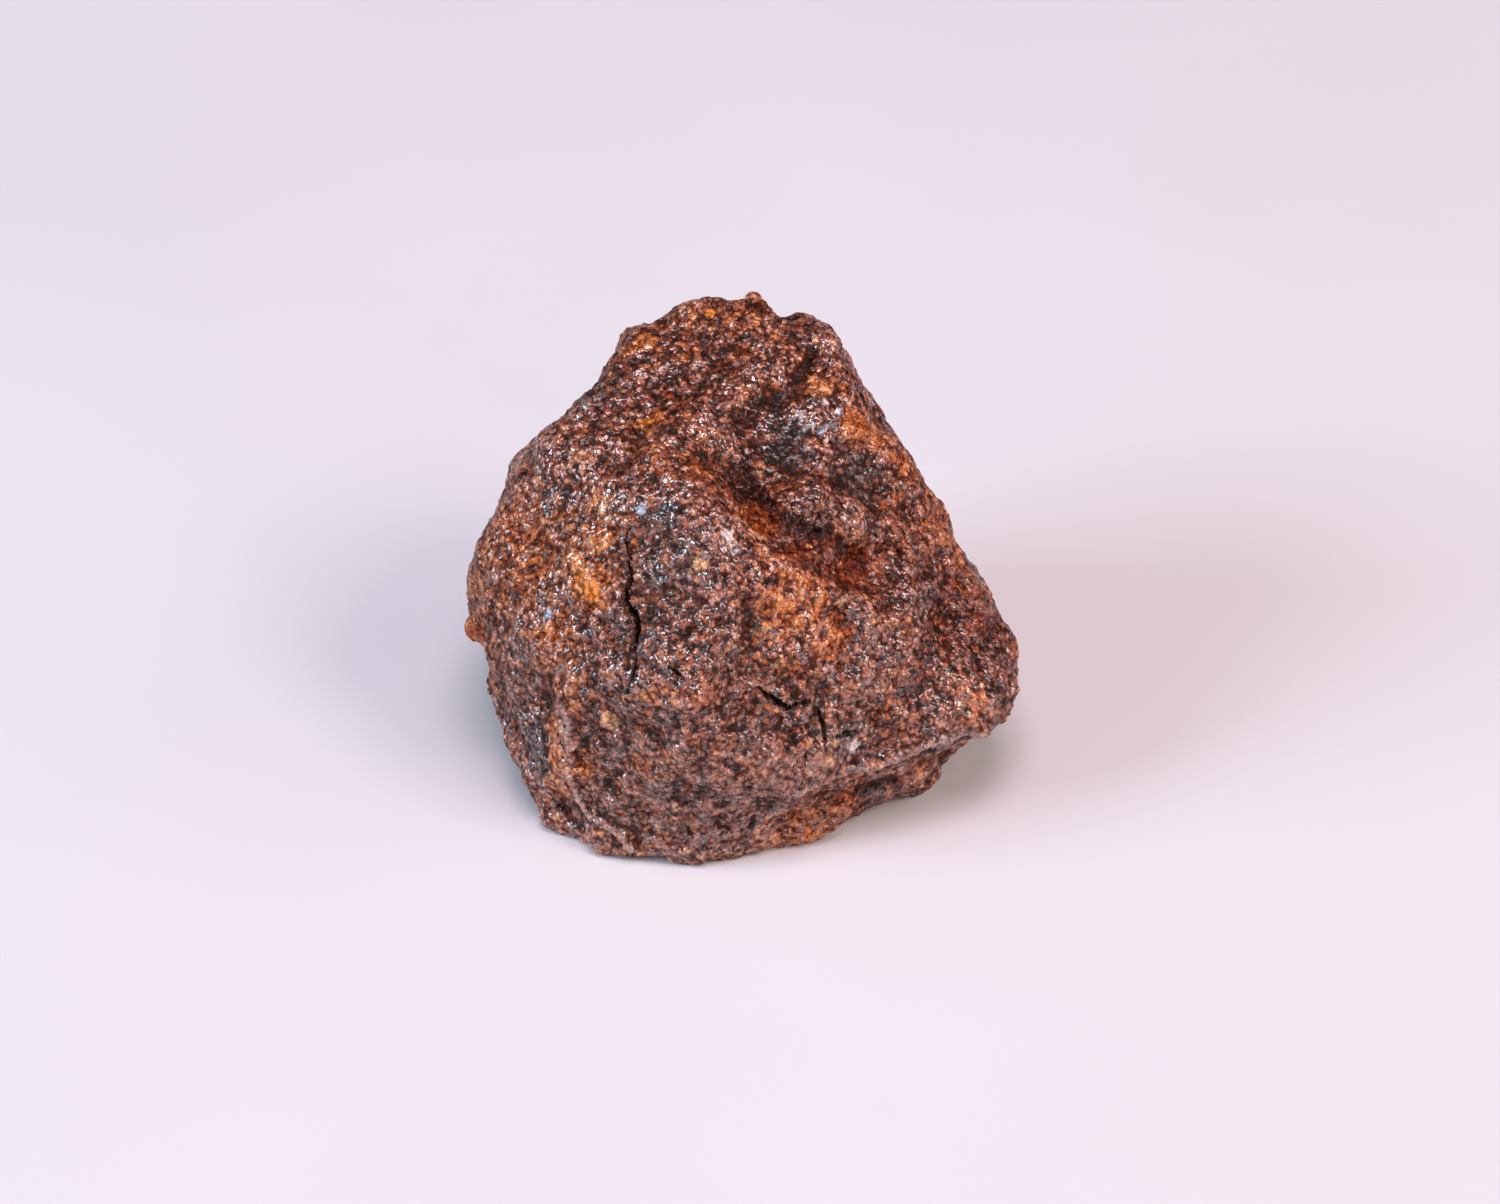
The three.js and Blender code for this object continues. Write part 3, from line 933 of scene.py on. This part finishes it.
class Nodes:
    """Short ways to add and join a material's nodes. A socket goes by its name or number."""

    def __init__(self, name):
        self.material = bpy.data.materials.new(name)
        self.material.use_nodes = True
        self.tree = self.material.node_tree
        self.tree.nodes.clear()

    def put(self, socket, value):
        """Links another socket to this one, or sets its number or colour."""
        if isinstance(value, bpy.types.NodeSocket):
            self.tree.links.new(value, socket)
        else:
            socket.default_value = value

    def add(self, kind, inputs=None, **settings):
        node = self.tree.nodes.new("ShaderNode" + kind)
        for key, value in settings.items():
            setattr(node, key, value)
        for key, value in (inputs or {}).items():
            self.put(node.inputs[key], value)
        return node

    def finished(self, inputs):
        """The material, with a surface that has these inputs."""
        surface = self.add("BsdfPrincipled", inputs).outputs[0]
        self.add("OutputMaterial", {"Surface": surface})
        return self.material

    def maths(self, operation, *values):
        return self.add("Math", dict(enumerate(values)), operation=operation).outputs[0]

    def product(self, first, *factors):
        for factor in factors:
            first = self.maths("MULTIPLY", first, factor)
        return first

    def total(self, start, values, weights):
        """The start plus each weighted value times its weight."""
        for name, weight in weights.items():
            start = self.maths("MULTIPLY_ADD", values[name], weight, start)
        return start

    def vector(self, operation, a, b):
        """A vector operation. A scale's factor is input 3, and a dot product is output 1."""
        second = 3 if operation == "SCALE" else 1
        node = self.add("VectorMath", {0: a, second: b}, operation=operation)
        return node.outputs[1 if operation == "DOT_PRODUCT" else 0]

    def mix(self, way, share, a, b):
        """Two colours mixed, through the sockets of a Mix node that are for colours."""
        inputs = {0: share, 6: a, 7: b}
        return self.add("Mix", inputs, data_type="RGBA", blend_type=way).outputs[2]

    def grey(self, value):
        return self.add("CombineColor", {0: value, 1: value, 2: value}).outputs[0]

    def channels(self, colour):
        return self.add("SeparateColor", {0: colour}).outputs

    def fit(self, value, name):
        """The value moved from one range to the other, as the range of this name says."""
        inputs = {0: value, **dict(enumerate(RANGES[name], 1))}
        return self.add("MapRange", inputs).outputs[0]

    def cloud(self, place, name):
        """The outputs of the cloud of noise of this name."""
        size, detail, roughness = CLOUDS[name]
        inputs = {"Vector": place, "Scale": 1 / size, "Detail": detail, "Roughness": roughness}
        return self.add("TexNoise", inputs).outputs

    def field(self, name):
        """The outputs of a field of the mesh."""
        return self.add("Attribute", attribute_name=name).outputs

    def ramp(self, value, stops):
        node = self.add("ValToRGB", {0: value})
        marks = node.color_ramp.elements
        while len(marks) < len(stops):
            marks.new(0.5)
        for mark, (position, colour) in zip(marks, stops):
            mark.position = position
            mark.color = (*colour, 1)
        return node.outputs[0]

    def cells(self, place, size):
        return self.add("TexVoronoi", {"Vector": place, "Scale": 1 / size}).outputs

    def facets(self, place, cells):
        """The height of a flat face on each cell, tilted its own way."""
        lean = self.vector("SUBTRACT", cells["Color"], HALF_GREY)
        offset = self.vector("SUBTRACT", place, cells["Position"])
        return self.maths("MULTIPLY", self.vector("DOT_PRODUCT", lean, offset), FACET_TILT)

    def bump(self, height):
        """The normal of a surface with this height in mm."""
        return self.add("Bump", {"Strength": 1.0, "Distance": MM, "Height": height}).outputs[0]


def grain_values(n, place):
    """What a grain's look depends on: its own chances, its shape, the noise and the fields."""
    names = ("high", "grain", "dull", "dark", "red", "rust", "grey", "worn", "crack", "wet")
    v = {name: n.field(name)["Fac"] for name in names}
    for name in ("wave", "grit", "cloud", "fleck"):
        v[name] = n.cloud(place, name)["Fac"]
    bend = n.vector("SUBTRACT", n.cloud(place, "bend")["Color"], HALF_GREY)
    bent = n.vector("ADD", place, n.vector("SCALE", bend, BEND))
    cells, chips = n.cells(bent, CELL_SIZE), n.cells(bent, CHIP_SIZE)
    v["lean"] = n.facets(bent, cells)
    v["dome"] = n.maths("POWER", cells["Distance"], DOME_POWER)
    v["nick"] = n.fit(chips["Distance"], "nick")
    open_here = n.fit(n.cloud(place, "gap")["Fac"], "gap by cloud")
    v["gap"] = n.product(n.fit(cells["Distance"], "gap"), open_here)
    stray, v["luck"], v["rust luck"] = n.channels(cells["Color"])
    v["stray"] = n.product(n.maths("SUBTRACT", stray, 0.5), STRAY)
    v["chip luck"] = n.channels(chips["Color"])[1]
    return v


def add_tones(n, place, v):
    """Adds how pale or dark each grain is, with painted shade in low places and in the gaps between
    grains. Dull places have more speckles, red ones no edges.
    """
    speckle = n.maths("SUBTRACT", n.cloud(place, "speckle")["Fac"], 0.5)
    v["speckle"] = n.product(speckle, n.fit(v["dull"], "speckle by dull"))
    not_red = n.maths("SUBTRACT", 1.0, v["red"])
    # Painted shade: the grains' borders are painted darker, as the gaps between grains lie in
    # shade.
    v["edge"] = n.product(v["gap"], not_red, n.fit(v["dull"], "edge by dull"))
    v["tone"] = n.total(TONE_START, v, TONE_WEIGHTS)
    v["lit"] = n.total(0.0, v, LIT_WEIGHTS)


def layer_share(n, v, name, blot, spot):
    """The share of a colour: its patches with ragged borders, and blots and spots all over."""
    spread = n.maths("MAXIMUM", n.fit(blot, name + " blots"), n.fit(spot, "spots"))
    weights = {"blot": RAGGED, "patch": PATCH_WEIGHT}
    ragged = n.total(-0.5 * RAGGED, {"blot": blot, "patch": v[name]}, weights)
    share = n.maths("MAXIMUM", ragged, spread)
    return n.fit(n.maths("ADD", share, v["stray"]), "patch")


def crust_colour(n, place, v):
    blots = n.channels(n.cloud(place, "blots")["Color"])
    spots = n.channels(n.cloud(place, "spots")["Color"])
    colour = n.ramp(v["tone"], CRUST_RAMP)
    for name, channel, tone, ramp in LAYERS:
        share = layer_share(n, v, name, blots[channel], spots[channel])
        colour = n.mix("MIX", share, colour, n.ramp(v[tone], ramp))
    rusty = n.fit(v["rust luck"], "rusty grain")
    colour = n.mix("MIX", rusty, colour, n.ramp(v["tone"], RUST_RAMP))
    # Marks: cream and amber grains, and white and bluish painted glints.
    mark = n.field("mark")
    shade = n.grey(n.fit(v["tone"], "mark by tone"))
    marked = n.fit(n.maths("ADD", mark["Alpha"], v["stray"]), "mark")
    colour = n.mix("MIX", marked, colour, n.mix("MULTIPLY", 1.0, mark["Color"], shade))
    # Paler edges: worn on the flakes' steps and the ledge's rim, a painted highlight along the left
    # rim.
    worn = n.product(v["worn"], n.fit(v["chip luck"], "worn by chip"))
    colour = n.mix("MIX", worn, colour, WEAR_AND_HIGHLIGHT_COLOUR)
    # Painted shade: each crack's mouth is painted nearly black.
    return n.mix("MIX", v["crack"], colour, CRACK_SHADE_COLOUR)


def varnish_weight(n, place, v):
    """How thick the varnish is: thin on dull places and in cracks, and thinned in gaps and low
    places as painted shade that keeps reflections out of them.
    """
    varnish = n.fit(n.cloud(place, "varnish")["Fac"], "varnish")
    varnish = n.maths("MAXIMUM", varnish, v["wet"])
    by_dull = n.fit(v["dull"], "varnish by dull")
    not_crack = n.maths("SUBTRACT", 1.0, v["crack"])
    by_high = n.fit(v["high"], "varnish by high")
    by_gap = n.fit(v["gap"], "varnish by gap")
    return n.product(varnish, by_dull, not_crack, by_high, by_gap)


def crust_material():
    """Small rough grains of many colours, under a wet-looking skin that rounds them off."""
    n = Nodes("crust")
    place = n.vector("SCALE", n.add("TexCoord").outputs["Object"], 1 / MM)
    v = grain_values(n, place)
    add_tones(n, place, v)
    inputs = {
        "Base Color": crust_colour(n, place, v),
        "Roughness": n.fit(n.cloud(place, "roughness")["Fac"], "roughness"),
        "Specular IOR Level": CRUST_SPECULAR,
        "Normal": n.bump(n.total(0.0, v, ROUGH_WEIGHTS)),
        "Coat Weight": varnish_weight(n, place, v),
        "Coat Normal": n.bump(n.total(0.0, v, SKIN_WEIGHTS)),
        "Coat Roughness": VARNISH_ROUGHNESS,
        "Coat IOR": VARNISH_IOR,
    }
    return n.finished(inputs)


def floor_material():
    n = Nodes("floor")
    cloud = n.cloud(n.add("TexCoord").outputs["Object"], "floor")
    inputs = {
        "Base Color": n.mix("MIX", n.fit(cloud["Fac"], "floor"), *FLOOR_COLOURS),
        "Roughness": FLOOR_ROUGHNESS,
        "Specular IOR Level": FLOOR_SPECULAR,
    }
    return n.finished(inputs)


def add_floor():
    bpy.ops.mesh.primitive_plane_add(size=FLOOR_SIZE)
    floor = bpy.context.object
    floor.name = "floor"
    floor.data.materials.append(floor_material())


def add_light(name, azimuth, elevation, size, power, colour):
    """A soft square light that points at CORE."""
    a, e = math.radians(azimuth), math.radians(elevation)
    back = Vector((math.sin(a) * math.cos(e), -math.cos(a) * math.cos(e), math.sin(e)))
    data = bpy.data.lights.new(name, "AREA")
    data.shape, data.size, data.energy, data.color = "SQUARE", size, power, colour
    light = bpy.data.objects.new(name, data)
    light.location = Vector(CORE) * MM + back * LIGHT_DISTANCE
    light.rotation_mode = "QUATERNION"
    light.rotation_quaternion = (-back).to_track_quat("-Z", "Y")
    bpy.context.scene.collection.objects.link(light)


def light_scene():
    scene = bpy.context.scene
    scene.view_settings.view_transform = "Standard"
    world = bpy.data.worlds.new("fill")
    world.use_nodes = True
    world.node_tree.nodes["Background"].inputs["Color"].default_value = FILL_COLOUR
    scene.world = world
    for name, light in LIGHTS.items():
        add_light(name, *light)


def add_camera():
    right = Vector((1, 0, 0))
    up = Vector((0, math.sin(VIEW_ELEVATION), math.cos(VIEW_ELEVATION)))
    back = Vector((0, -math.cos(VIEW_ELEVATION), math.sin(VIEW_ELEVATION)))
    target = Vector(CORE) + right * VIEW_SHIFT[0] + up * VIEW_SHIFT[1]
    data = bpy.data.cameras.new("camera")
    data.lens, data.sensor_width = LENS, SENSOR
    camera = bpy.data.objects.new("camera", data)
    camera.location = (target + back * VIEW_DISTANCE) * MM
    camera.rotation_mode = "QUATERNION"
    camera.rotation_quaternion = (-back).to_track_quat("-Z", "Y")
    bpy.context.scene.collection.objects.link(camera)
    bpy.context.scene.camera = camera


def sphere_map(directions, triangles):
    """A square map of all directions for each triangle's corners: an octahedron, unfolded."""
    corners = directions[triangles]
    middle = corners.mean(1, keepdims=True)
    sign = np.where(middle < 0, -1.0, 1.0)
    x, y = corners[..., 0], corners[..., 1]
    upper = sign[..., 2] > 0
    along = np.abs(corners[..., :2]).sum(2)
    folded = (sign[..., :2] * corners[..., :2]).sum(2)
    size = np.where(upper, along, folded) + sign[..., 2] * corners[..., 2]
    u, v = x / size, y / size
    outer_u = sign[..., 0] * (1 - sign[..., 1] * v)
    outer_v = sign[..., 1] * (1 - sign[..., 0] * u)
    flat = np.stack([np.where(upper, u, outer_u), np.where(upper, v, outer_v)], 2)
    return 0.5 + MAP_HALF * flat


def marks_at(places):
    """Colour and strength of the marks at each place."""
    marks = np.zeros((len(places), 4))
    for middle, size, colour in MARKED_GRAINS:
        near = np.clip(MARK_STRENGTH * nearness(places, middle, MARK_REACH * size), 0, 1)
        marks[near > marks[:, 3], :3] = colour
        marks[:, 3] = np.maximum(marks[:, 3], near)
    return marks


def add_crust(node):
    rng = np.random.default_rng(SEED)
    parted, places, fields = crust_shape(node, rng)
    piece = piece_of("crust", places, parted.triangles)
    mesh = piece.data
    patches = {name: patches_at(places, rows) for name, rows in PATCHES.items()}
    for name, values in {**patches, **fields}.items():
        add_attribute(mesh, name, "FLOAT", "POINT", "value", values)
    of_grain = rng.random(parted.grains)[parted.grain]
    add_attribute(mesh, "grain", "FLOAT", "FACE", "value", of_grain)
    add_attribute(mesh, "mark", "FLOAT_COLOR", "POINT", "color", marks_at(places))
    layer = mesh.uv_layers.new(name=MAP_NAME)
    places_on_map = sphere_map(unit(places - CORE), parted.triangles)
    layer.data.foreach_set("uv", places_on_map.astype(np.float32).ravel())
    mesh.shade_smooth()
    mesh.materials.append(crust_material())
    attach(piece, "root")
    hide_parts(STONE)


def main():
    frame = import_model()
    add_camera()
    light_scene()
    add_floor()
    add_crust(frame["nodes"][STONE])


main()
